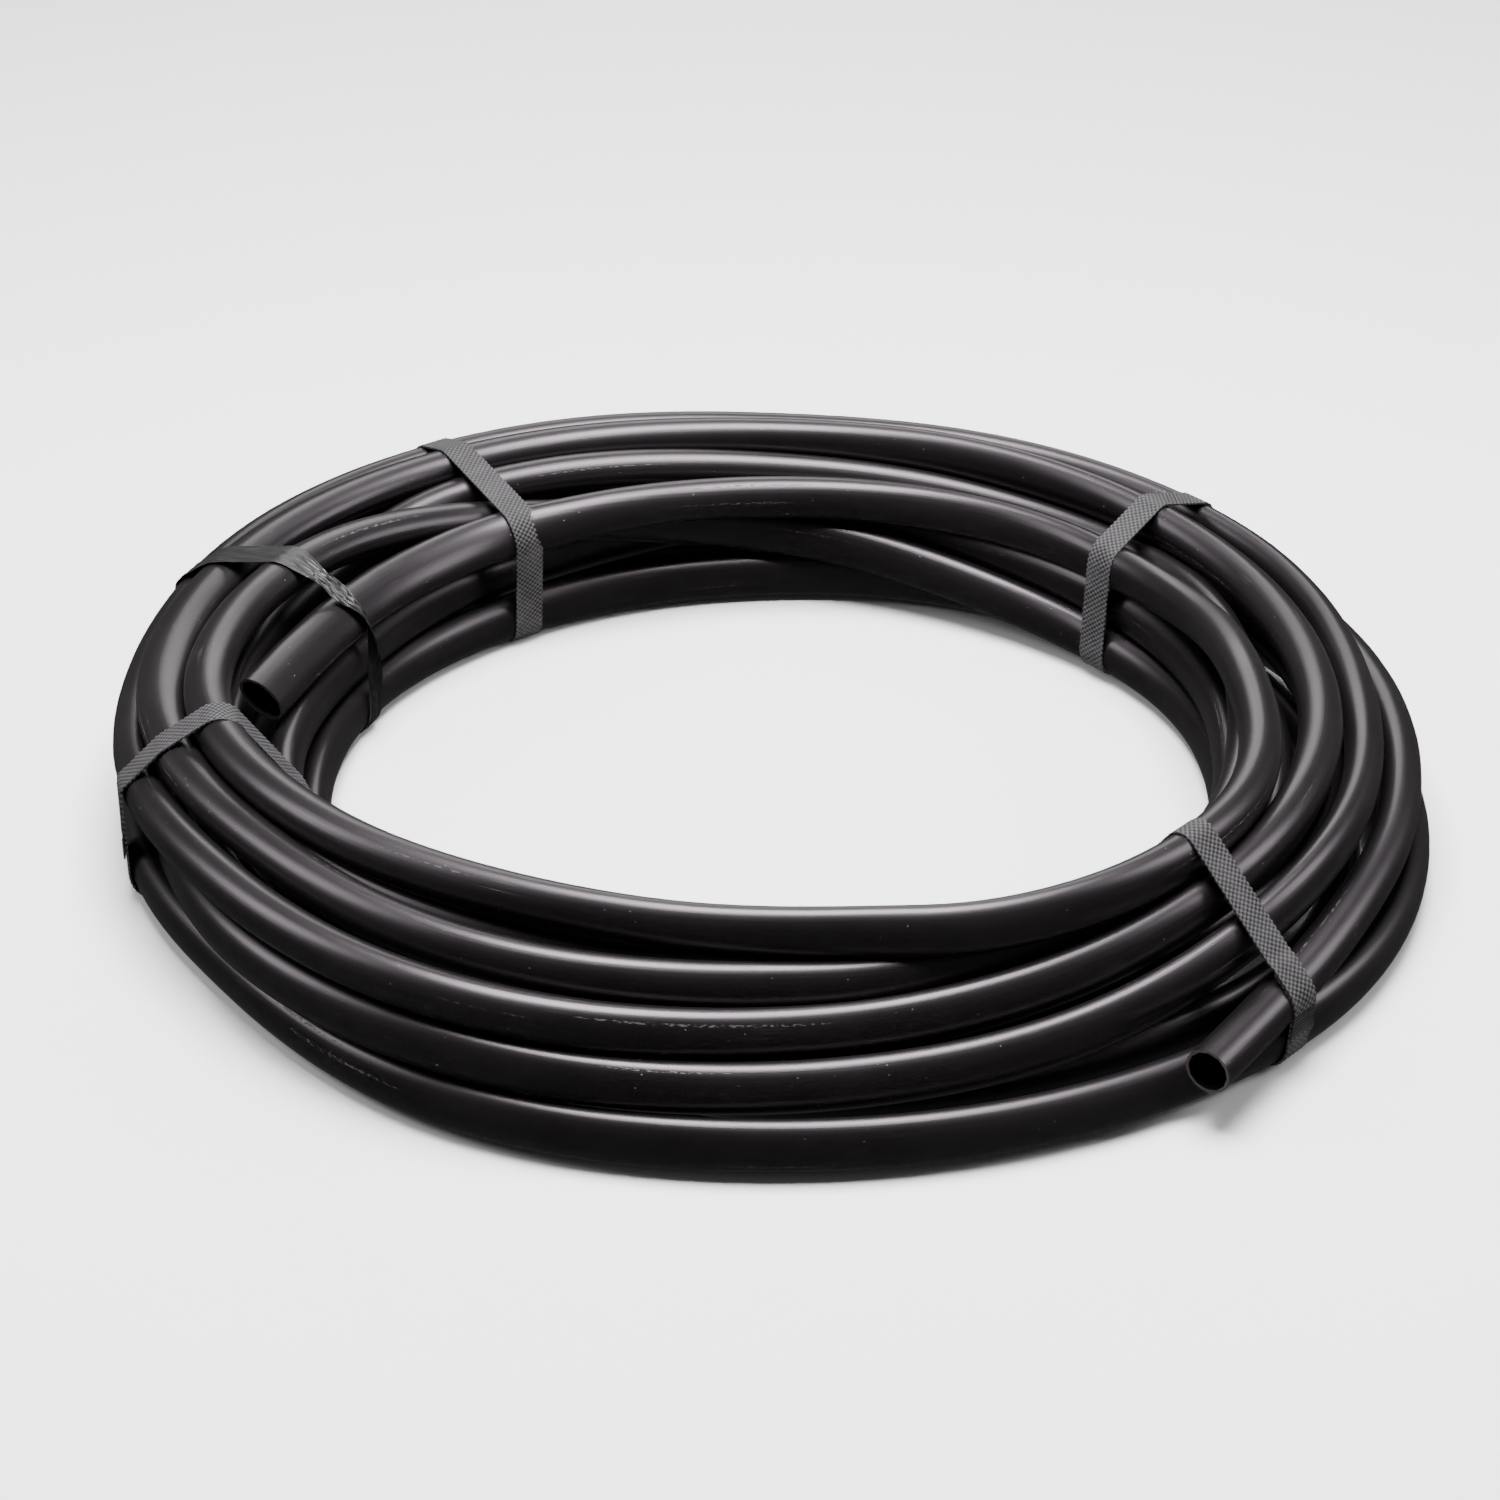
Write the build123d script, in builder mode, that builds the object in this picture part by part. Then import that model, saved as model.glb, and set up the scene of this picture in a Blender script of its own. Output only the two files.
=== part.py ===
"""A strapped coil of plain black polyethylene irrigation pipe, in millimetres.

The coil lies flat, its axis along Z. The origin is the middle of the coil at the level
it stands on. Compass angles are counter-clockwise from +X, seen from above.
"""
from build123d import *
import math
import os

os.makedirs("parts", exist_ok=True)

# ---- the pipe
pipe_od = 21.3
pipe_wall = 1.3
pipe_bore = pipe_od - 2 * pipe_wall

# ---- the coil: an oval ring, longest from the right to the left, with an oval eye longest to the back
coil_long = 648.0
coil_short = 594.0
eye_long = 440.0
eye_short = 422.0
coil_height = 96.0
coil_edge_radius = 20.0
coil_turned = -25.0
eye_turned = -70.0

# ---- the woven straps, welded where their ends overlap
strap_width = 16.0
strap_thickness = 0.8
strap_gap = 0.4
strap_overlap_height = 42.0
straps = {
    "strap_left_front": 192.0,
    "strap_left_back": 126.0,
    "strap_right_back": 41.0,
    "strap_right_front": -42.0,
}

# ---- the film tape round the inner end
tape_width = 19.0
tape_thickness = 0.4
tape_angle = 157.0

# ---- the loose ends of the pipe; x, y and height of the middle of the pipe
outer_mouth = (183.5, -253.0, 30.0)
outer_heading = 54.7
outer_end_length = 112.0
outer_groove_clearance = 4.35
inner_mouth = (-249.0, 8.0, 63.0)
inner_bend = (-219.0, 103.0, 63.0)
inner_root = (-157.0, 176.0, 63.0)
inner_groove_clearance = 2.85
groove_depth = 70.0
arc_share = 0.45

strap_bed = strap_gap + strap_thickness
bed_clearance = strap_gap / 2
outer_groove_half = pipe_od / 2 + outer_groove_clearance
inner_groove_half = pipe_od / 2 + inner_groove_clearance
strap_reach = 2 * coil_long


def ring(grow, lift=0.0):
    """The coil's outer shape, swollen by grow on every side, with its underside raised by lift."""
    with BuildPart() as body:
        with BuildSketch(Plane.XY.offset(lift - grow)):
            Ellipse(coil_long / 2 + grow, coil_short / 2 + grow, rotation=coil_turned)
            Ellipse(eye_long / 2 - grow, eye_short / 2 - grow, rotation=eye_turned, mode=Mode.SUBTRACT)
        extrude(amount=coil_height - lift + 2 * grow)
        rims = body.faces().sort_by(Axis.Z)[0].edges() + body.faces().sort_by(Axis.Z)[-1].edges()
        fillet(rims, coil_edge_radius + grow)
    return body.part


def slab(angle, width, low, high, near):
    """A slice of space across the ring at one compass angle, from near outwards."""
    with BuildPart() as body:
        with BuildSketch(Plane.XY.offset(low)):
            with Locations(Location((0, 0, 0), (0, 0, angle))):
                with Locations((near, 0)):
                    Rectangle(strap_reach, width, align=(Align.MIN, Align.CENTER))
        extrude(amount=high - low)
    return body.part


def band(angle, width, inside, outside):
    """A closed band round the ring, between two swollen copies of its shape."""
    with BuildPart() as body:
        add(outside)
        add(inside, mode=Mode.SUBTRACT)
        add(slab(angle, width, -coil_height, 2 * coil_height, 0), mode=Mode.INTERSECT)
    return body.part


def bed(angle, width):
    """The room under the coil in which a band crosses it, so that the coil stays flat on the floor."""
    with BuildPart() as body:
        add(slab(angle, width + 2 * strap_gap, -coil_height, coil_edge_radius, 0))
        add(ring(bed_clearance, strap_bed), mode=Mode.SUBTRACT)
    return body.part


def run_of(points):
    """A line through the points with a tangent arc at every bend, and the arcs' radii."""
    radii = []
    for before, bend, after in zip(points, points[1:], points[2:]):
        arriving = Vector(*bend) - Vector(*before)
        leaving = Vector(*after) - Vector(*bend)
        half_turn = math.radians(arriving.get_angle(leaving)) / 2
        shorter = min(arriving.length, leaving.length)
        radii.append(arc_share * shorter / math.tan(half_turn))
    return radii


def pipe_along(path, start, heading):
    """A hollow pipe swept along the path."""
    with BuildPart() as body:
        with BuildSketch(Plane(start, z_dir=heading)):
            Circle(pipe_od / 2)
            Circle(pipe_bore / 2, mode=Mode.SUBTRACT)
        sweep(path=path)
    return body.part


def groove_along(path, start, heading, half, above):
    """The room kept free beside a loose end, and above it too where it lies on top."""
    with BuildPart() as body:
        with BuildSketch(Plane(start, x_dir=(0, 0, 1), z_dir=heading)):
            with Locations((-half, half)):
                Rectangle(half + above, half + groove_depth, align=(Align.MIN, Align.MAX))
        sweep(path=path)
    return body.part


# ---- the outer end: straight off the coil, low on its outside
outward = Vector(math.cos(math.radians(outer_heading)), math.sin(math.radians(outer_heading)), 0)
outer_tip = Vector(*outer_mouth)
outer_start = outer_tip + outward * outer_end_length
with BuildLine() as outer_path:
    Line(outer_start, outer_tip)
with BuildLine() as outer_room:
    Line(outer_start, outer_tip - outward * outer_end_length)
outer_end = pipe_along(outer_path.line, outer_start, -outward)
outer_groove = groove_along(outer_room.line, outer_start, -outward, outer_groove_half, outer_groove_half)

# ---- the inner end: over the top of the left side, pointing forwards
inner_points = [inner_root, inner_bend, inner_mouth]
inner_radii = run_of(inner_points)
print("inner end, arc radii", [round(radius) for radius in inner_radii])
inner_heading = (Vector(*inner_bend) - Vector(*inner_root)).normalized()
inner_leaving = (Vector(*inner_mouth) - Vector(*inner_bend)).normalized()
inner_beyond = Vector(*inner_mouth) + inner_leaving * 2 * pipe_od
with BuildLine() as inner_path:
    FilletPolyline(*inner_points, radius=inner_radii)
with BuildLine() as inner_room:
    FilletPolyline(inner_root, inner_bend, inner_beyond, radius=inner_radii)
inner_end = pipe_along(inner_path.line, inner_root, inner_heading)
inner_groove = groove_along(inner_room.line, inner_root, inner_heading, inner_groove_half, coil_height)

# ---- the coil itself
with BuildPart() as hose_coil:
    add(ring(0))
    add(outer_groove, mode=Mode.SUBTRACT)
    add(inner_groove, mode=Mode.SUBTRACT)
    for angle in straps.values():
        add(bed(angle, strap_width), mode=Mode.SUBTRACT)
    add(bed(tape_angle, tape_width), mode=Mode.SUBTRACT)
hose_coil.part.label = "hose_coil"
outer_end.label = "hose_outer_end"
inner_end.label = "hose_inner_end"

# ---- straps and tape
ring_clear = ring(strap_gap, strap_bed)
ring_strapped = ring(strap_gap + strap_thickness, strap_bed)
ring_taped = ring(strap_gap + tape_thickness, strap_bed)
ring_welded = ring(strap_gap + 2 * strap_thickness, strap_bed)
overlap_low = (coil_height - strap_overlap_height) / 2
overlap_high = overlap_low + strap_overlap_height
middle_reach = (coil_short + eye_short) / 4

parts = {
    "hose_coil": hose_coil.part,
    "hose_outer_end": outer_end,
    "hose_inner_end": inner_end,
}
for name, angle in straps.items():
    with BuildPart() as strap:
        add(band(angle, strap_width, ring_clear, ring_strapped))
        with BuildPart(mode=Mode.PRIVATE) as tail:
            add(band(angle, strap_width, ring_strapped, ring_welded))
            add(slab(angle, strap_width, overlap_low, overlap_high, middle_reach), mode=Mode.INTERSECT)
        add(tail.part)
    strap.part.label = name
    parts[name] = strap.part

tape = band(tape_angle, tape_width, ring_clear, ring_taped)
tape.label = "tape_inner_end"
parts["tape_inner_end"] = tape

for name, solid in parts.items():
    export_step(solid, f"parts/{name}.step")
    box = solid.bounding_box()
    print(name, len(solid.solids()), "solid", round(solid.volume), "mm3",
          [round(v, 1) for v in (*box.min, *box.max)])

wall_area = math.pi * (pipe_od ** 2 - pipe_bore ** 2) / 4
for name, path in (("hose_outer_end", outer_path.line), ("hose_inner_end", inner_path.line)):
    run = sum(edge.length for edge in path.edges())
    print(name, "volume against section x length", round(parts[name].volume / (wall_area * run), 4))
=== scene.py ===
"""The looks of a strapped coil of black polyethylene pipe: one hose wound in about eleven and
a half turns, four woven straps welded on its outside, and a film tape round its inner end.
"""
import math

import bmesh
import bpy
import numpy as np
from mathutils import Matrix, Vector


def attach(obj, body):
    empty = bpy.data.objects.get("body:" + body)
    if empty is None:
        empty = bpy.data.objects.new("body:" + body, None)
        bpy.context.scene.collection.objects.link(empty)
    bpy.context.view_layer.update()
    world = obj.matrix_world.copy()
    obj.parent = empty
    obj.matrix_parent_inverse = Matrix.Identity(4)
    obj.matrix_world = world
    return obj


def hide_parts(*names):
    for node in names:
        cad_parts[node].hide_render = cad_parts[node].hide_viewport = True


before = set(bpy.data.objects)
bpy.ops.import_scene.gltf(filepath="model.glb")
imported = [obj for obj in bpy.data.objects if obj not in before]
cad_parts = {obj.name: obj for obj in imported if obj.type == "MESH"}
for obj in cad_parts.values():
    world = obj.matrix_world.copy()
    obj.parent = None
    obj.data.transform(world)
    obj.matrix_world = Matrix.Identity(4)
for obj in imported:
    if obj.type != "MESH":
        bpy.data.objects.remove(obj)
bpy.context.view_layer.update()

MM = 0.001

# ---- the camera
camera_height = 30.3          # degrees above the horizon
camera_distance = 1.781
camera_target = Vector((0.0, 0.0, 0.045))
camera_lens = 88.4

# ---- the floor, in metres: half its side, and how far it lies under the part
floor_size, floor_drop = 14.0, 0.0004

# ---- the pipe, in millimetres: round when free, and an oval of the same girth in the coil
pipe_diameter = 21.3
pipe_wall = 1.3
squeezed_width = 8.4          # half the width across the coil
mouth_width, mouth_roll = 7.6, math.radians(-50)
squash_ripple = 0.03
round_until, oval_from = 90.0, 280.0
oval_until, rolled_from = 330.0, 150.0
outer_sides, bore_sides = 24, 12

# ---- the loose ends, in metres: middle of the pipe, from each mouth inwards
outer_run = [(0.1835, -0.2530, 0.0300), (0.2159, -0.2073, 0.0310), (0.2482, -0.1616, 0.0370)]
inner_run = [(-0.1570, 0.1760, 0.0630), (-0.2190, 0.1030, 0.0640), (-0.2490, 0.0080, 0.0640)]

# ---- the coil's lanes: a turn's radius and height in millimetres at every station
first_station = 330
station_step = 30
point_step = 10
lanes = [
    # the turn that starts at the outer end, dropping to the floor at the front
    [(296, 39), (299, 47), (299, 46), (293, 44), (288, 49), (298, 51),
     (308, 44), (307, 22), (285, 14), (288, 14), (283, 14), (290, 14)],
    # outside on the floor, rising to the second row at the front
    [(304, 14), (306, 14), (299, 15), (291, 14), (288, 14), (297, 14),
     (290, 14), (291, 15), (294, 33), (285, 35), (268, 31), (269, 38)],
    # outside on top at the back, third row at the front
    [(279, 60), (280, 61), (289, 66), (284, 72), (283, 73), (306, 72),
     (317, 66), (309, 50), (290, 55), (280, 55), (253, 50), (253, 59)],
    # the widest turn on top at the back
    [(257, 72), (258, 73), (258, 74), (256, 76), (267, 76), (289, 76),
     (302, 76), (296, 72), (268, 72), (259, 71), (241, 65), (236, 60)],
    # inner wall at the right, then under the top turns
    [(226, 60), (221, 60), (245, 57), (250, 60), (250, 66), (267, 68),
     (273, 55), (266, 42), (250, 58), (236, 60), (224, 60), (222, 57)],
    # second row of the inner wall
    [(222, 40), (221, 37), (230, 37), (238, 38), (252, 38), (247, 30),
     (234, 34), (238, 36), (236, 38), (226, 36), (222, 36), (220, 34)],
    # three turns buried in the middle
    [(238, 38), (239, 36), (247, 34), (252, 20), (253, 14), (262, 14),
     (251, 14), (243, 14), (243, 24), (241, 38), (239, 40), (238, 40)],
    [(262, 44), (267, 44), (275, 44), (272, 42), (271, 52), (278, 58),
     (286, 47), (281, 36), (270, 34), (256, 28), (256, 20), (262, 16)],
    [(278, 14), (270, 15), (266, 14), (268, 14), (271, 14), (279, 14),
     (270, 14), (261, 14), (254, 14), (240, 14), (237, 14), (237, 14)],
    # inside on the floor
    [(237, 14), (237, 14), (246, 14), (244, 14), (235, 14), (233, 14),
     (234, 14), (226, 14), (224, 14), (221, 14), (219, 14), (219, 14)],
    # from the floor at the right up to the top of the left and the front
    [(219, 14), (219, 14), (228, 14), (226, 21), (234, 34), (244, 52),
     (264, 78), (273, 80), (252, 84), (232, 84), (229, 84), (245, 84)],
    # the last part of a turn, to the inner end
    [(244, 84), (224, 79), (229, 61), (233, 60), (231, 60), (230, 62), (240, 64), (249, 64)],
]
# half widths where a turn is less squeezed: turn, station in degrees, half width in millimetres
wider_places = [
    (0, 360, 10.0), (0, 390, 9.4), (2, 360, 9.6), (2, 450, 9.0), (2, 480, 9.6), (2, 510, 10.2),
    (2, 540, 10.4), (2, 570, 10.6), (2, 600, 9.6), (3, 330, 9.8), (3, 360, 10.4), (3, 390, 10.2),
    (3, 450, 9.6), (3, 480, 11.0), (3, 510, 12.0), (3, 540, 12.0), (3, 570, 10.8), (3, 600, 9.4),
    (4, 450, 9.6), (4, 480, 10.6), (4, 510, 9.6), (10, 480, 9.8), (10, 510, 11.6), (10, 540, 11.8),
    (10, 570, 10.8), (10, 600, 9.4), (11, 330, 9.6), (11, 360, 10.4), (11, 390, 9.6), (11, 450, 9.6),
    (11, 480, 10.4),
]
# degrees wound before the inner end leaves the coil, and the half width kept free for it
inner_end_after, inner_end_room = 11 * 360 + 150, 11.0
lowest_middle, highest_middle, innermost_middle = 14.0, 85.0, 218.0
settle_rounds = 260
settle_push, settle_stiffness, settle_hold = 0.45, 0.30, 0.03

# ---- the straps, in millimetres and degrees
straps = {
    "strap_left_front": 192.0,
    "strap_left_back": 126.0,
    "strap_right_back": 41.0,
    "strap_right_front": -42.0,
}
strap_width, strap_thickness, strap_gap = 16.0, 0.7, 0.15
strap_overlap, strap_start = 36.0, 60.0
strap_grain, strap_column = 0.45, 0.35
lap_climb, lap_clearance = 7.0, 0.3
tail_curl, tail_length = 0.5, 5.0
weld_from, weld_until, weld_edge = 1.5, 15.0, 2.0

# ---- the film tape
tape_angle = 157.0
tape_width, tape_gap, tape_thickness = 19.0, 0.25, 0.18
tape_grain, tape_columns, tape_evening = 1.2, 25, 14
# share of the way round, from low on the outside over the top; then width, twist and height above
tape_shape = [
    (0.00, 19.0, 0, 0.0), (0.36, 19.0, 0, 0.0), (0.385, 14.0, 0, 0.6), (0.405, 9.0, 0, 1.3),
    (0.425, 14.0, 0, 0.9), (0.455, 12.0, 0, 0.7), (0.485, 6.5, 20, 1.4), (0.54, 6.0, 85, 2.2),
    (0.60, 7.5, 150, 1.8), (0.66, 11.0, 180, 0.4), (0.72, 16.0, 180, 0.0), (0.85, 19.0, 180, 0.0),
    (1.00, 19.0, 180, 0.0),
]
wrap_from_end, wrap_width, wrap_rows = 100.0, 34.0, 25


# =====================================================================  the camera
camera_data = bpy.data.cameras.new("camera")
camera = bpy.data.objects.new("camera", camera_data)
bpy.context.collection.objects.link(camera)
tilt = math.radians(camera_height)
camera.location = camera_target + camera_distance * Vector((0, -math.cos(tilt), math.sin(tilt)))
camera.rotation_euler = (math.pi / 2 - tilt, 0, 0)
camera_data.lens = camera_lens
camera_data.sensor_width = 36.0
camera_data.shift_x = -0.018
camera_data.shift_y = -0.0055
bpy.context.scene.camera = camera


# =====================================================================  the hose's route
def smooth_between(values, count):
    """Values with count steps from each to the next, on a curve through all of them."""
    padded = np.concatenate([2 * values[:1] - values[1:2], values, 2 * values[-1:] - values[-2:-1]])
    before, here, after, beyond = padded[:-3], padded[1:-2], padded[2:-1], padded[3:]
    steps = []
    for t in np.arange(count) / count:
        steps.append(0.5 * (2 * here + (after - before) * t
                            + (2 * before - 5 * here + 4 * after - beyond) * t ** 2
                            + (3 * here - before - 3 * after + beyond) * t ** 3))
    return np.concatenate([np.stack(steps, 1).reshape(-1, values.shape[1]), values[-1:]])


def ease(value, start, end):
    """0 before start, 1 after end, and a smooth step between."""
    t = np.clip((value - start) / (end - start), 0, 1)
    return t * t * (3 - 2 * t)


def settle(places, halves, pinned):
    """Moves the turns apart until they lie beside and on each other, as near their lanes as they can."""
    per_turn = 360 // point_step
    turns = -(-len(places) // per_turn)
    spare = turns * per_turn - len(places)
    held = places.copy()
    half = np.concatenate([halves, np.ones((spare, 2))]).reshape(turns, per_turn, 2)
    reach = half[:, None] + half[None]
    for step in range(settle_rounds):
        far_away = np.arange(1, spare + 1)[:, None] * np.array([[1e5, 1e5]])
        laid = np.concatenate([places, far_away]).reshape(turns, per_turn, 2)
        apart = (laid[:, None] - laid[None]) / reach
        distance = np.maximum(np.linalg.norm(apart, axis=-1, keepdims=True), 1e-6)
        push = np.clip(1.0 - distance, 0, None) * apart / distance * reach
        push[np.arange(turns), np.arange(turns)] = 0
        moved = push.sum(1).reshape(-1, 2)[:len(places)]
        places = places + settle_push * moved
        fading = 1 - step / settle_rounds
        shift = places - held
        places[1:-1] += settle_stiffness * fading * (shift[:-2] + shift[2:] - 2 * shift[1:-1])
        places -= settle_hold * fading * shift
        places[:, 1] = np.clip(places[:, 1], lowest_middle, highest_middle)
        places[:, 0] = np.maximum(places[:, 0], innermost_middle)
        places[pinned] = held[pinned]
    return places


def half_height(half_width):
    """Half the height of an oval of the pipe's own girth, in millimetres."""
    return np.sqrt(2 * (pipe_diameter / 2) ** 2 - half_width ** 2)


stations = np.array([place for turn in lanes for place in turn], float)
station_widths = np.full((len(stations), 1), squeezed_width)
for turn, degrees, half_width in wider_places:
    station_widths[12 * turn + (degrees - first_station) // station_step] = half_width
coil_places = smooth_between(stations, station_step // point_step)
coil_widths = smooth_between(station_widths, station_step // point_step)[:, 0]
coil_angles = np.radians(first_station + point_step * np.arange(len(coil_places)))
beside_inner_end = coil_angles > math.radians(first_station + inner_end_after) + 1e-6
own_widths = np.where(beside_inner_end, inner_end_room, coil_widths)
own_halves = np.stack([own_widths, half_height(own_widths)], -1)
coil_places = settle(coil_places, own_halves, beside_inner_end | (coil_angles < coil_angles[1]))

# a spline of order 3 passes inside its points by this much
swell = 1 / math.cos(math.radians(point_step) / 2)
coil_run = [
    (radius * swell * math.cos(angle) * MM, radius * swell * math.sin(angle) * MM, height * MM)
    for angle, (radius, height) in zip(coil_angles, coil_places)
]
route = outer_run + coil_run[1:int(np.argmax(beside_inner_end))] + inner_run


def spline_points(points, resolution):
    """The points of a smooth NURBS line through the route, read from the curve itself."""
    data = bpy.data.curves.new("route", "CURVE")
    data.dimensions = "3D"
    spline = data.splines.new("NURBS")
    spline.points.add(len(points) - 1)
    for point, place in zip(spline.points, points):
        point.co = (*place, 1.0)
    spline.order_u = 3
    spline.use_endpoint_u = True
    spline.resolution_u = resolution
    holder = bpy.data.objects.new("route", data)
    bpy.context.collection.objects.link(holder)
    mesh = bpy.data.meshes.new_from_object(holder)
    read = np.empty(len(mesh.vertices) * 3)
    mesh.vertices.foreach_get("co", read)
    bpy.data.objects.remove(holder)
    bpy.data.curves.remove(data)
    bpy.data.meshes.remove(mesh)
    return read.reshape(-1, 3)


path = spline_points(route, 5)
path_steps = np.linalg.norm(np.diff(path, axis=0), axis=1)
path_along = np.concatenate([[0], np.cumsum(path_steps)])
hose_length = float(path_along[-1])

# half widths along the route, by how far it has turned
path_turned = np.unwrap(np.arctan2(path[:, 1], path[:, 0])) + 2 * math.pi
path_widths = np.interp(path_turned, coil_angles, coil_widths)


def section_at(along):
    """Half the pipe's width and height, in metres, and its roll, along its length."""
    out = along / MM
    back = (hose_length - along) / MM
    oval = ease(out, round_until, oval_from)
    rolled = 1 - ease(back, rolled_from, oval_until)
    ripple = squash_ripple * oval * np.sin(out / 97.0) * np.sin(out / 231.0 + 1.0)
    width = np.interp(along, path_along, path_widths) * (1 + ripple)
    width = pipe_diameter / 2 * (1 - oval) + width * oval
    width = width * (1 - rolled) + mouth_width * rolled
    return width * MM, half_height(width) * MM, mouth_roll * rolled


# =====================================================================  meshes
def new_piece(name, vertices, faces, material, corners=None, numbers=None):
    """A mesh object with its material, its UV map and its named numbers on points."""
    mesh = bpy.data.meshes.new(name)
    mesh.from_pydata([tuple(v) for v in vertices], [], [tuple(f) for f in faces])
    if corners is not None:
        layer = mesh.uv_layers.new(name="lengths")
        layer.data.foreach_set("uv", np.asarray(corners, float).ravel())
    for label, values in (numbers or {}).items():
        attribute = mesh.attributes.new(label, "FLOAT", "POINT")
        attribute.data.foreach_set("value", np.asarray(values, float))
    mesh.materials.append(material)
    piece = bpy.data.objects.new(name, mesh)
    bpy.context.collection.objects.link(piece)
    return piece


def tidy_normals(piece, sharp_degrees=None):
    """Turns every face outwards and shades the piece smooth, but for its sharp edges."""
    shell = bmesh.new()
    shell.from_mesh(piece.data)
    bmesh.ops.recalc_face_normals(shell, faces=shell.faces)
    shell.to_mesh(piece.data)
    shell.free()
    piece.data.shade_smooth()
    if sharp_degrees:
        piece.data.set_sharp_from_angle(angle=math.radians(sharp_degrees))


def ring_frames(line):
    """Across and up directions at every point of a line that runs nearly level."""
    forward = np.gradient(line, axis=0)
    forward /= np.linalg.norm(forward, axis=1, keepdims=True)
    across = np.cross(forward, (0, 0, 1.0))
    across /= np.linalg.norm(across, axis=1, keepdims=True)
    return forward, across, np.cross(across, forward)


def around_section(half_width, half_up, roll, clear, turn):
    """Across and up distances of points round an oval section, swollen by clear."""
    wide, high = (half_width + clear) * np.cos(turn), (half_up + clear) * np.sin(turn)
    return wide * np.cos(roll) - high * np.sin(roll), wide * np.sin(roll) + high * np.cos(roll)


def tube_rings(line, along, turn, clear):
    """Rings of points round the line, standing off the pipe's surface by clear."""
    forward, across, up = ring_frames(line)
    wide, high = around_section(*(size[:, None] for size in section_at(along)), clear, turn[None])
    return line[:, None] + wide[..., None] * across[:, None] + high[..., None] * up[:, None]


def round_turn(count):
    """Even angles once round."""
    return np.linspace(0, 2 * math.pi, count, endpoint=False)


def tube_faces(first, count, sides, inward):
    """Quads between the rings of a tube whose vertices start at first."""
    ring, side = np.meshgrid(np.arange(count - 1), np.arange(sides), indexing="ij")
    a = first + ring * sides + side
    b = first + ring * sides + (side + 1) % sides
    quads = np.stack([a, b, b + sides, a + sides], -1).reshape(-1, 4)
    return quads[:, ::-1] if inward else quads


def tube_corners(along, sides, girth, inward):
    """UV corners of a tube's quads: metres along and metres round."""
    ring, side = np.meshgrid(np.arange(len(along) - 1), np.arange(sides), indexing="ij")
    low, high = along[ring], along[ring + 1]
    left, right = side / sides * girth, (side + 1) / sides * girth
    corners = np.stack([
        np.stack([low, left], -1), np.stack([low, right], -1),
        np.stack([high, right], -1), np.stack([high, left], -1)], 2)
    corners = corners.reshape(-1, 4, 2)
    return corners[:, ::-1] if inward else corners


def make_hose(material):
    """The hose: an oval tube with its bore, open at both mouths."""
    wall = pipe_wall * MM
    girth = math.pi * pipe_diameter * MM
    outer = tube_rings(path, path_along, round_turn(outer_sides), 0.0)
    bore = tube_rings(path, path_along, round_turn(bore_sides), -wall)
    vertices = np.concatenate([outer.reshape(-1, 3), bore.reshape(-1, 3)])
    count, bore_first = len(path), len(path) * outer_sides
    faces = list(tube_faces(0, count, outer_sides, False))
    faces += list(tube_faces(bore_first, count, bore_sides, True))
    corners = np.concatenate([
        tube_corners(path_along, outer_sides, girth, False).reshape(-1, 2),
        tube_corners(path_along, bore_sides, girth, True).reshape(-1, 2)])
    rims = []
    for ring in (0, count - 1):
        for side in range(bore_sides):
            edge = [2 * side, 2 * side + 1, (2 * side + 2) % outer_sides]
            inner = [(side + 1) % bore_sides, side]
            rims.append([ring * outer_sides + e for e in edge]
                        + [bore_first + ring * bore_sides + e for e in inner])
    faces += rims
    rim_corners = np.tile([-1.0, 0.0], (5 * len(rims), 1))
    hose = new_piece("hose", vertices, faces, material, np.concatenate([corners, rim_corners]))
    tidy_normals(hose, 50)
    return hose


# =====================================================================  loops round the bundle
def crossings(angle):
    """Where the hose crosses the upright plane at a compass angle: place and half sizes, in metres."""
    heading = np.array([math.cos(math.radians(angle)), math.sin(math.radians(angle))])
    outwards = path[:, :2] @ heading
    aside = path[:, 1] * heading[0] - path[:, 0] * heading[1]
    found = []
    for i in np.nonzero((aside[:-1] < 0) & (aside[1:] >= 0) & (outwards[:-1] > 0))[0]:
        t = -aside[i] / (aside[i + 1] - aside[i])
        place = path[i] + t * (path[i + 1] - path[i])
        along = path_along[i] + t * path_steps[i]
        found.append((float(place[:2] @ heading), float(place[2]), *section_at(along)))
    return found


def oval(middle, height, half_width, half_up, roll, clear, count=48):
    """Points of one pipe's section on the plane, swollen by clear."""
    wide, high = around_section(half_width, half_up, roll, clear, round_turn(count))
    return np.stack([middle + wide, height + high], -1)


def tight_loop(points):
    """The tight loop round points on a plane, counter-clockwise."""
    points = sorted(map(tuple, points))
    halves = []
    for run in (points, points[::-1]):
        chain = []
        for p in run:
            while len(chain) > 1 and turn_of(chain[-2], chain[-1], p) <= 0:
                chain.pop()
            chain.append(p)
        halves += chain[:-1]
    return np.array(halves)


def turn_of(a, b, c):
    """Above zero where the way from a over b to c turns left."""
    return (b[0] - a[0]) * (c[1] - a[1]) - (b[1] - a[1]) * (c[0] - a[0])


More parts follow.
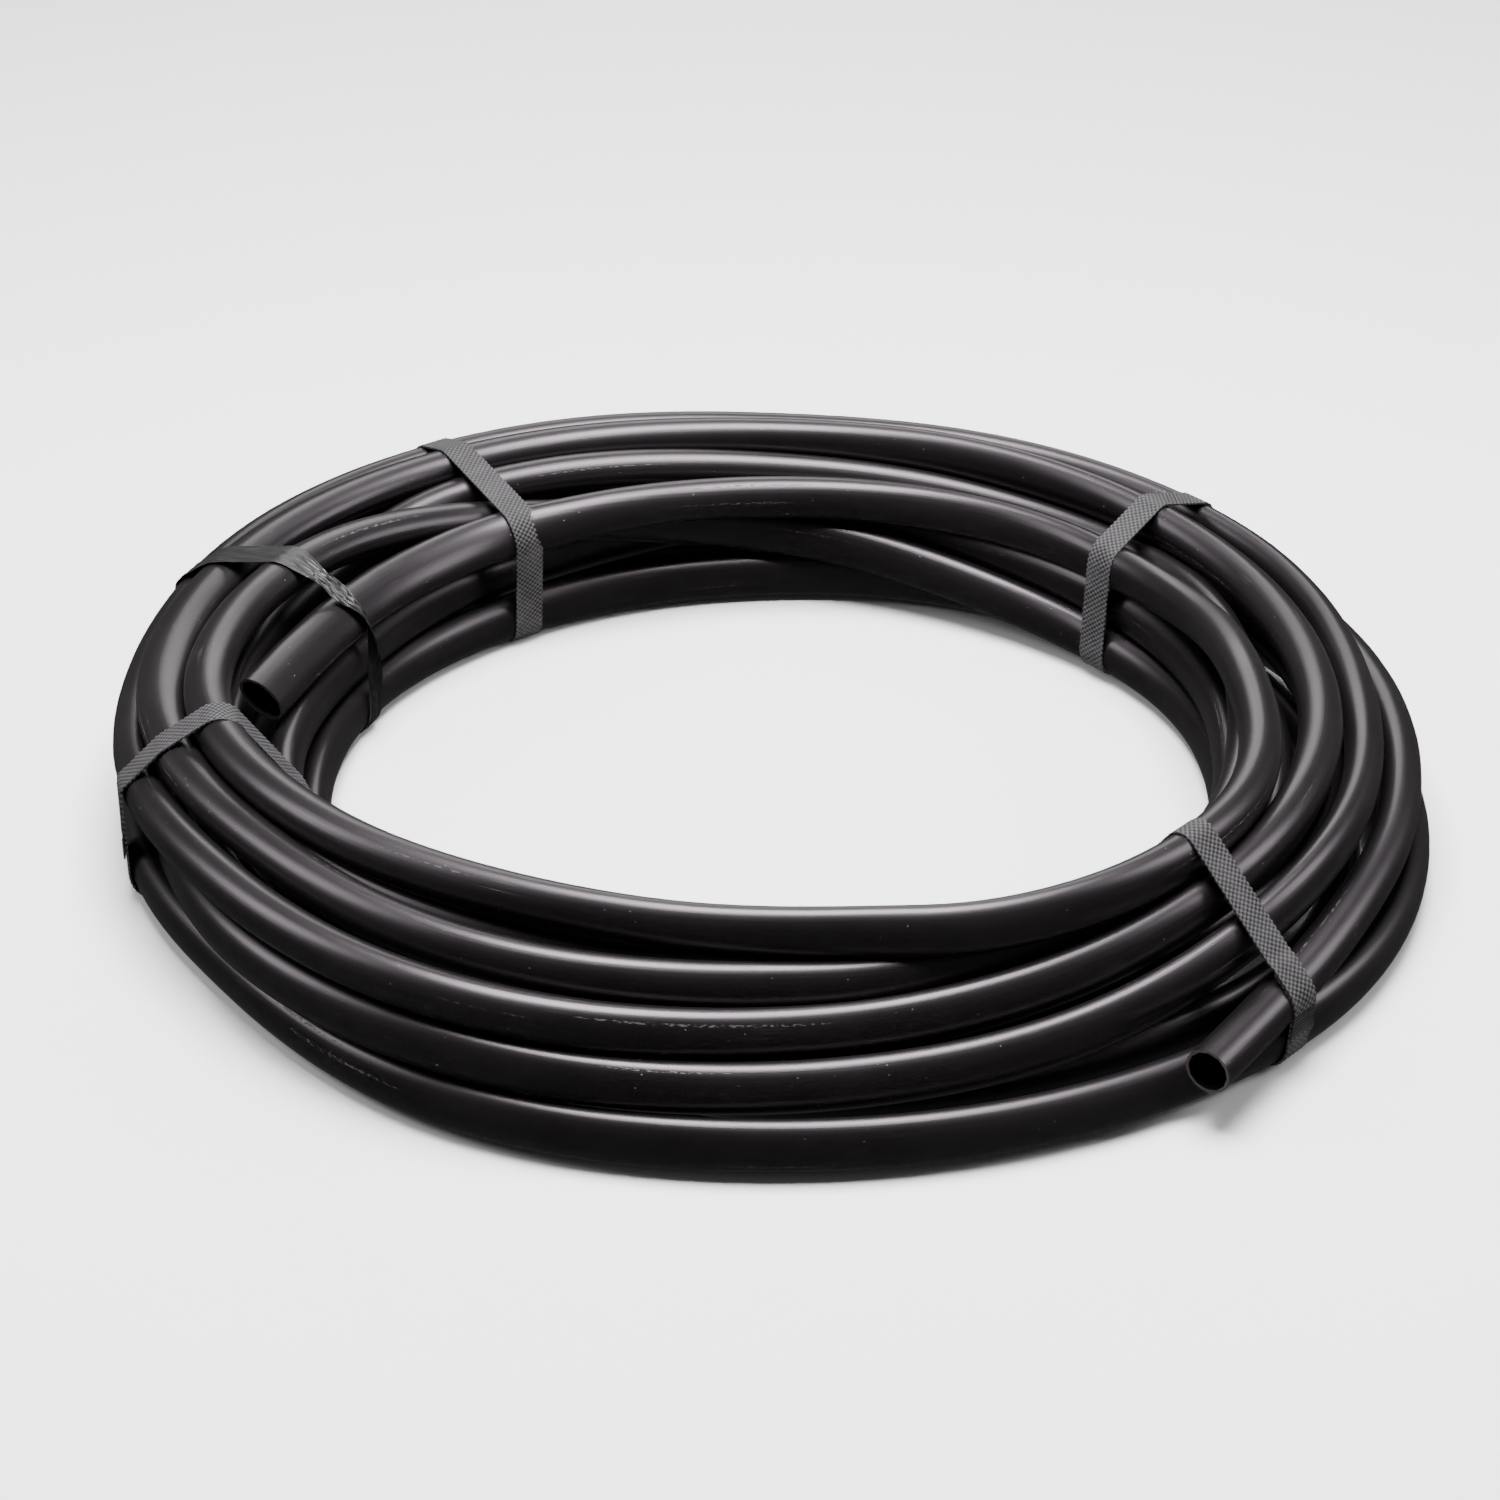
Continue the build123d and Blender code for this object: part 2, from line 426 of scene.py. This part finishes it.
def even_loop(loop, step, start):
    """The loop with even steps, from the place nearest to start."""
    closed = np.concatenate([loop, loop[:1]])
    along = np.concatenate([[0], np.cumsum(np.linalg.norm(np.diff(closed, axis=0), axis=1))])
    count = int(round(along[-1] / step))
    at = np.linspace(0, along[-1], count, endpoint=False)
    even = np.stack([np.interp(at, along, closed[:, i]) for i in (0, 1)], -1)
    first = int(np.argmin(np.linalg.norm(even - np.array(start), axis=1)))
    even = np.roll(even, -first, axis=0)
    for _ in range(3):
        even = (np.roll(even, 1, 0) + 2 * even + np.roll(even, -1, 0)) / 4
    return even


def loop_normals(loop):
    """Outward directions of a counter-clockwise loop."""
    tangent = np.roll(loop, -1, 0) - np.roll(loop, 1, 0)
    tangent /= np.linalg.norm(tangent, axis=1, keepdims=True)
    return np.stack([tangent[:, 1], -tangent[:, 0]], -1)


def sheet_mesh(name, rows, material, along, across):
    """A sheet from rows of points, with its lengths along and across kept on its points."""
    count, width = rows.shape[:2]
    row, column = np.meshgrid(np.arange(count - 1), np.arange(width - 1), indexing="ij")
    a = (row * width + column).reshape(-1)
    faces = np.stack([a, a + 1, a + 1 + width, a + width], -1)
    corners = np.stack([np.repeat(along, width)[faces], np.tile(across, count)[faces]], -1)
    return new_piece(name, rows.reshape(-1, 3), faces, material, corners.reshape(-1, 2),
                     {"along": np.repeat(along, width), "across": np.tile(across, count)})


# =====================================================================  node tools
class Value:
    """A socket of a node tree that Python's own arithmetic builds on."""

    def __init__(self, graph, socket):
        self.graph = graph
        self.socket = socket

    def math(self, operation, *others, clamp=False):
        node = self.graph.tree.nodes.new("ShaderNodeMath")
        node.operation = operation
        node.use_clamp = clamp
        self.graph.fill(node, enumerate((self, *others)))
        return Value(self.graph, node.outputs[0])

    def __add__(self, other):
        return self.math("ADD", other)

    def __sub__(self, other):
        return self.math("SUBTRACT", other)

    def __mul__(self, other):
        return self.math("MULTIPLY", other)

    def __truediv__(self, other):
        return self.math("DIVIDE", other)

    def __rsub__(self, other):
        return self * -1.0 + other

    __radd__ = __add__
    __rmul__ = __mul__

    def between(self, low, high):
        """0 at low and 1 at high, held inside that."""
        return (self - low).math("DIVIDE", high - low, clamp=True)


class Graph:
    """A node tree with one method for every kind of node."""

    def __init__(self, tree):
        self.tree = tree

    def fill(self, node, inputs):
        for key, given in inputs:
            if isinstance(given, Value):
                self.tree.links.new(given.socket, node.inputs[key])
            else:
                node.inputs[key].default_value = given

    def node(self, kind, inputs=None, out=0, **settings):
        node = self.tree.nodes.new(kind)
        for key, setting in settings.items():
            setattr(node, key, setting)
        self.fill(node, (inputs or {}).items())
        return Value(self, node.outputs[out])

    def noise(self, place, scale, detail=3.0, roughness=0.5):
        return self.node("ShaderNodeTexNoise", {
            "Vector": place, "Scale": scale, "Detail": detail, "Roughness": roughness})

    def colours(self, factor, first, second):
        return self.node("ShaderNodeMix", {"Factor": factor, 6: first, 7: second}, out=2,
                         data_type="RGBA")

    def bump(self, height, distance, strength=1.0):
        return self.node("ShaderNodeBump", {
            "Height": height, "Distance": distance, "Strength": strength})


def new_material(name):
    """A material with its graph and its surface shader."""
    material = bpy.data.materials.new(name)
    material.use_nodes = True
    return material, Graph(material.node_tree), material.node_tree.nodes["Principled BSDF"]


def hose_material():
    """Extruded black polyethylene: satin, with drawn lines, scuffs and specks of dust."""
    material, g, shader = new_material("black polyethylene")
    lengths = g.node("ShaderNodeUVMap", uv_map="lengths")
    along = g.node("ShaderNodeSeparateXYZ", {"Vector": lengths}, out=0)
    around = g.node("ShaderNodeSeparateXYZ", {"Vector": lengths}, out=1)
    place = g.node("ShaderNodeTexCoord", out=3)
    drawn = g.noise(g.node("ShaderNodeCombineXYZ", {"X": along * 3.0, "Y": around * 900.0}), 1.0, 4.0)
    fine = g.noise(g.node("ShaderNodeCombineXYZ", {"X": along * 22.0, "Y": around * 2600.0}), 1.0, 2.0)
    scuff_area = g.noise(place, 26.0, 3.0).between(0.54, 0.72)
    scratch = fine.between(0.64, 0.72) * scuff_area
    broken = g.noise(g.node("ShaderNodeCombineXYZ", {"X": along * 420.0, "Y": around * 900.0}), 1.0, 1.0)
    scuff_line = g.noise(g.node("ShaderNodeCombineXYZ", {"X": along * 5.0, "Y": around * 330.0, "Z": 7.0}),
                         1.0, 1.0).between(0.70, 0.73)
    scuffs = scuff_line * broken.between(0.5, 0.6)
    cloud = g.noise(place, 9.0, 4.0, 0.6)
    cells = g.node("ShaderNodeTexVoronoi", {"Vector": place, "Scale": 210.0}, out=0)
    specks = 1.0 - cells.between(0.05, 0.09)
    dust = specks * g.noise(place, 60.0, 2.0).between(0.52, 0.62)
    body = g.colours(cloud.between(0.3, 0.7), (0.0019, 0.0016, 0.0018, 1), (0.0042, 0.0036, 0.0040, 1))
    worn = g.colours((scratch * 0.5 + scuffs * 0.6).between(0.0, 1.0), body, (0.060, 0.054, 0.058, 1))
    dusty = g.colours(dust * 0.55, worn, (0.20, 0.18, 0.18, 1))
    cut_face = (along * -1.0).between(0.4, 0.6)
    cut = g.colours(cut_face, dusty, (0.030, 0.027, 0.029, 1))
    worn_finish = scratch * 0.22 + scuffs * 0.25 + dust * 0.3 + cut_face * 0.2
    finish = cloud * 0.14 + drawn * 0.07 + worn_finish + 0.25
    worn_relief = scratch * 0.35 + scuffs * 0.4
    relief = drawn * 0.5 + fine * 0.12 + g.noise(place, 320.0, 2.0) * 0.16 - worn_relief
    g.fill(shader, (("Base Color", cut), ("Roughness", finish),
                    ("Normal", g.bump(relief, 0.00009))))
    shader.inputs["IOR"].default_value = 1.51
    shader.inputs["Specular IOR Level"].default_value = 0.5
    shader.inputs["Specular Tint"].default_value = (1.0, 0.89, 0.96, 1)
    return material


def strap_material():
    """Woven polypropylene strapping: grey-black ribbons with a dull shine, and painted shade in the
    hollows of the weave.
    """
    material, g, shader = new_material("woven strapping")
    height = g.node("ShaderNodeAttribute", out=2, attribute_name="weave")
    along = g.node("ShaderNodeAttribute", out=2, attribute_name="along")
    across = g.node("ShaderNodeAttribute", out=2, attribute_name="across")
    place = g.node("ShaderNodeTexCoord", out=3)
    threads = g.noise(g.node("ShaderNodeCombineXYZ", {"X": along * 160.0, "Y": across * 4200.0}), 1.0, 2.0)
    patches = g.noise(place, 70.0, 3.0)
    # painted shade and highlight: the weave's hollows are coloured near black and its raised threads
    # lighter, as light and shade fall on the weave
    painted_weave_shade = g.colours(height.between(0.3, 0.7), (0.0022, 0.0020, 0.0022, 1), (0.046, 0.043, 0.046, 1))
    body = g.colours(patches.between(0.35, 0.7) * 0.3, painted_weave_shade, (0.062, 0.058, 0.062, 1))
    finish = 0.62 - height * 0.16 + threads * 0.12
    g.fill(shader, (("Base Color", body), ("Roughness", finish),
                    ("Normal", g.bump(threads * 0.4 + height * 0.8, 0.0003))))
    shader.inputs["Specular IOR Level"].default_value = 0.3
    return material


def tape_material():
    """Stretched black film: glossy, with pulled wrinkles and paler stress marks."""
    material, g, shader = new_material("black film")
    along = g.node("ShaderNodeAttribute", out=2, attribute_name="along")
    across = g.node("ShaderNodeAttribute", out=2, attribute_name="across")
    place = g.node("ShaderNodeTexCoord", out=3)
    pull = g.node("ShaderNodeCombineXYZ", {"X": along * 26.0, "Y": across * 420.0})
    pulled = g.noise(pull, 1.0, 4.0, 0.6)
    crumpled = g.noise(place, 95.0, 4.0, 0.62)
    stress = pulled.between(0.56, 0.74) * crumpled.between(0.42, 0.66)
    body = g.colours(stress, (0.007, 0.0065, 0.007, 1), (0.034, 0.032, 0.034, 1))
    finish = 0.32 + crumpled * 0.16 + stress * 0.2
    g.fill(shader, (("Base Color", body), ("Roughness", finish),
                    ("Normal", g.bump(pulled * 0.7 + crumpled * 0.5, 0.0006))))
    return material


def weave_nodes():
    """Geometry Nodes that raise a sheet's weave, give it its thickness and its material."""
    tree = bpy.data.node_groups.new("woven band", "GeometryNodeTree")
    tree.interface.new_socket("Geometry", in_out="INPUT", socket_type="NodeSocketGeometry")
    for label, low in (("Along pitch", 0.0028), ("Across pitch", 0.0032), ("Raise", 0.00034),
                       ("Thickness", 0.0007)):
        socket = tree.interface.new_socket(label, in_out="INPUT", socket_type="NodeSocketFloat")
        socket.default_value = low
    tree.interface.new_socket("Material", in_out="INPUT", socket_type="NodeSocketMaterial")
    tree.interface.new_socket("Geometry", in_out="OUTPUT", socket_type="NodeSocketGeometry")
    g = Graph(tree)
    given = tree.nodes.new("NodeGroupInput")
    sheet, along_pitch, across_pitch, rise, thickness, material = (
        Value(g, socket) for socket in given.outputs[:6])
    along = g.node("GeometryNodeInputNamedAttribute", {"Name": "along"}, data_type="FLOAT")
    across = g.node("GeometryNodeInputNamedAttribute", {"Name": "across"}, data_type="FLOAT")
    lengthways = (along / along_pitch * (2 * math.pi)).math("COSINE")
    sideways = (across / across_pitch * (2 * math.pi)).math("COSINE")
    welded = g.node("GeometryNodeInputNamedAttribute", {"Name": "welded"}, data_type="FLOAT")
    ridges = (along / along_pitch * (3 * math.pi)).math("COSINE") * 0.35 + 0.15
    weave = (lengthways * sideways * 0.5 + 0.5) * (1.0 - welded) + ridges * welded
    stored = g.node("GeometryNodeStoreNamedAttribute",
                    {"Geometry": sheet, "Name": "weave", "Value": weave}, data_type="FLOAT")
    normal = g.node("GeometryNodeInputNormal")
    shift = g.node("ShaderNodeVectorMath", {0: normal, "Scale": weave * rise}, operation="SCALE")
    raised = g.node("GeometryNodeSetPosition", {"Geometry": stored, "Offset": shift})
    back = g.node("ShaderNodeVectorMath", {0: normal, "Scale": thickness * -1.0}, operation="SCALE")
    under = g.node("GeometryNodeFlipFaces", {
        "Mesh": g.node("GeometryNodeSetPosition", {"Geometry": stored, "Offset": back})})
    both = tree.nodes.new("GeometryNodeJoinGeometry")
    for part in (raised, under):
        tree.links.new(part.socket, both.inputs[0])
    real = g.node("GeometryNodeRealizeInstances", {"Geometry": Value(g, both.outputs[0])})
    finished = g.node("GeometryNodeSetMaterial", {"Geometry": real, "Material": material})
    out = tree.nodes.new("NodeGroupOutput")
    tree.links.new(finished.socket, out.inputs[0])
    return tree


def apply_nodes(piece, tree, inputs):
    """Runs a node tree on a piece, keeps what it makes, and leaves no modifier."""
    modifier = piece.modifiers.new("nodes", "NODES")
    modifier.node_group = tree
    for item in tree.interface.items_tree:
        if item.in_out == "INPUT" and item.name in inputs:
            modifier[item.identifier] = inputs[item.name]
    bpy.context.view_layer.update()
    made = bpy.data.meshes.new_from_object(
        piece.evaluated_get(bpy.context.evaluated_depsgraph_get()))
    piece.modifiers.clear()
    piece.data = made


def close_sheet_rims(piece, rows, columns):
    """Joins a sheet and its under side round their four edges."""
    count = rows * columns
    rim = [r * columns for r in range(rows)]
    rim += [(rows - 1) * columns + c for c in range(1, columns)]
    rim += [r * columns + columns - 1 for r in range(rows - 2, -1, -1)]
    rim += list(range(columns - 2, 0, -1))
    shell = bmesh.new()
    shell.from_mesh(piece.data)
    shell.verts.ensure_lookup_table()
    for a, b in zip(rim, rim[1:] + rim[:1]):
        shell.faces.new([shell.verts[i] for i in (a, b, b + count, a + count)])
    shell.to_mesh(piece.data)
    shell.free()


# =====================================================================  straps and tape
def band_rows(angle, flat, across):
    """Rows of points across a band whose middle line lies on an upright plane."""
    turned = math.radians(angle)
    outwards = np.array([math.cos(turned), math.sin(turned), 0])
    sideways = np.array([-math.sin(turned), math.cos(turned), 0])
    return (flat[..., :1] * outwards + flat[..., 1:] * np.array([0, 0, 1.0])
            + across[..., None] * sideways)


def make_strap(name, angle, tree, material):
    """A woven strap round the bundle, with its outer end welded over its inner one."""
    section = crossings(angle)
    clear = (strap_gap + strap_thickness) * MM
    loop = tight_loop(np.concatenate([oval(*pipe, clear) for pipe in section]))
    loop = even_loop(loop, strap_grain * MM, (loop[:, 0].max(), strap_start * MM))[::-1]
    normals = -loop_normals(loop)
    lap = int(strap_overlap / strap_grain)
    step = np.arange(len(loop) + lap)
    order = step % len(loop)
    to_end = (len(step) - 1 - step) * strap_grain
    over = ease(step * strap_grain, len(loop) * strap_grain - lap_climb, len(loop) * strap_grain)
    lap_lift = (strap_thickness + lap_clearance) * over
    lift = (lap_lift + tail_curl * (1 - ease(to_end, 0, tail_length))) * MM
    flat = loop[order] + normals[order] * lift[:, None]
    columns = int(round(strap_width / strap_column)) + 1
    across = np.linspace(-strap_width / 2, strap_width / 2, columns) * MM
    rows = band_rows(angle, flat[:, None], across[None])
    strap = sheet_mesh(name + "_webbing", rows[:, ::-1], material, step * strap_grain * MM, across)
    weld = strap.data.attributes.new("welded", "FLOAT", "POINT")
    pressed = ease(to_end, weld_from, 2 * weld_from)
    pressed = pressed * (1 - ease(to_end, weld_until - weld_edge, weld_until))
    weld.data.foreach_set("value", np.repeat(pressed, columns))
    apply_nodes(strap, tree, {"Thickness": strap_thickness * MM, "Material": material})
    close_sheet_rims(strap, len(order), columns)
    tidy_normals(strap, 50)
    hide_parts(name)
    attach(strap, "root")
    return strap


hose = make_hose(hose_material())
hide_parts("hose_coil", "hose_outer_end", "hose_inner_end")
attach(hose, "root")

weave = weave_nodes()
webbing = strap_material()
for strap_name, strap_angle in straps.items():
    make_strap(strap_name, strap_angle, weave, webbing)


def make_tape(material):
    """The film band over the left side: flat outside, gathered on top, a twisted strip in the eye."""
    section = crossings(tape_angle)
    clear = (tape_gap + tape_thickness) * MM
    loop = tight_loop(np.concatenate([oval(*pipe, clear) for pipe in section]))
    loop = even_loop(loop, tape_grain * MM, (loop[:, 0].max(), 0.020))
    normals = loop_normals(loop)
    step = np.arange(len(loop) + 1)
    order = step % len(loop)
    far = step / len(loop)
    places, widths, twists, lifts = np.array(tape_shape).T
    width = np.interp(far, places, widths)
    twist = np.radians(np.interp(far, places, twists))
    lift = np.interp(far, places, lifts)
    for values in (width, twist, lift):
        for _ in range(tape_evening):
            values[1:-1] = (values[:-2] + 2 * values[1:-1] + values[2:]) / 4
    across = np.linspace(-0.5, 0.5, tape_columns)
    narrowed = 1 - width / tape_width
    pleats = np.sin(across[None] * 31 + step[:, None] * 0.09) * (0.12 + 1.3 * narrowed[:, None])
    pleats += 0.18 * np.sin(across[None] * 13 + step[:, None] * 0.41)
    spread = across[None] * width[:, None]
    proud = lift[:, None] + 0.3 + np.abs(pleats) + spread * np.sin(twist)[:, None]
    flat = loop[order][:, None] + normals[order][:, None] * proud[..., None] * MM
    rows = band_rows(tape_angle, flat, spread * np.cos(twist)[:, None] * MM)
    rows[..., 2] = np.maximum(rows[..., 2], 2 * tape_thickness * MM)
    return sheet_mesh("film_tape", rows, material, step * tape_grain * MM, across * tape_width * MM)


def make_wrap(material):
    """The same film pulled once round the squashed inner end alone."""
    far = np.abs(path_along - (hose_length - wrap_from_end * MM))
    rows_at = np.nonzero(far < wrap_width * 0.5 * MM)[0]
    fine = np.linspace(path_along[rows_at[0]], path_along[rows_at[-1]], wrap_rows)
    line = np.stack([np.interp(fine, path_along, path[:, i]) for i in range(3)], -1)
    turn = np.linspace(0, 2 * math.pi, 97)
    pull = np.linspace(-1, 1, wrap_rows)[:, None]
    crease = np.sin(turn[None] * 7 + pull * 2.3) * 0.22 + np.sin(turn[None] * 19 - pull * 4) * 0.10
    rows = tube_rings(line, fine, turn, (0.75 + crease) * MM)
    forward = ring_frames(line)[0]
    skew = 3.5 * MM * np.sin(turn[None] + 0.6) + 0.8 * MM * np.sin(turn[None] * 5) * np.abs(pull)
    rows += skew[..., None] * forward[:, None]
    return sheet_mesh("film_wrap", rows.transpose(1, 0, 2), material, turn * 0.011,
                      np.linspace(-0.5, 0.5, wrap_rows) * wrap_width * MM)


def thicken(piece, thickness):
    """Gives a film its thickness, outwards."""
    shell = piece.modifiers.new("thickness", "SOLIDIFY")
    shell.thickness = thickness
    shell.offset = 1.0
    bpy.context.view_layer.update()
    made = bpy.data.meshes.new_from_object(
        piece.evaluated_get(bpy.context.evaluated_depsgraph_get()))
    piece.modifiers.clear()
    piece.data = made
    tidy_normals(piece, 60)


film = tape_material()
tape = make_tape(film)
wrap = make_wrap(film)
for piece in (tape, wrap):
    thicken(piece, tape_thickness * MM)
    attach(piece, "root")
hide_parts("tape_inner_end")


# =====================================================================  the stage
def make_stage():
    """A plain pale floor."""
    material, g, shader = new_material("pale floor")
    grain = g.noise(g.node("ShaderNodeTexCoord", out=3), 40.0)
    g.fill(shader, (("Base Color", g.colours(grain, (0.86, 0.86, 0.86, 1), (0.88, 0.88, 0.88, 1))),))
    shader.inputs["Roughness"].default_value = 0.9
    corners = [
        (x * floor_size, y * floor_size, -floor_drop) for x, y in ((-1, -1), (1, -1), (1, 1), (-1, 1))]
    floor = new_piece("floor", corners, [(0, 1, 2, 3)], material)
    floor.visible_glossy = False


def softbox(name, place, aim, size, power):
    """A large soft light, facing aim."""
    data = bpy.data.lights.new(name, "AREA")
    data.shape = "RECTANGLE"
    data.size, data.size_y = size
    data.energy = power
    light = bpy.data.objects.new(name, data)
    bpy.context.collection.objects.link(light)
    light.location = place
    light.rotation_euler = (Vector(aim) - Vector(place)).to_track_quat("-Z", "Y").to_euler()


make_stage()
softbox("softbox above", (0.0, 0.05, 1.8), (0, 0, 0), (1.2, 0.95), 150)
softbox("softbox behind", (0.0, 2.0, 1.15), (0, 0, 0.05), (1.3, 0.6), 15)
softbox("softbox right", (1.7, 0.1, 1.1), (0, 0, 0.05), (0.7, 1.0), 20)
softbox("softbox left", (-1.7, 0.1, 1.1), (0, 0, 0.05), (0.7, 1.0), 20)
world = bpy.data.worlds.new("studio")
world.use_nodes = True
world.node_tree.nodes["Background"].inputs[0].default_value = (1, 1, 1, 1)
world.node_tree.nodes["Background"].inputs[1].default_value = 0.10
bpy.context.scene.world = world
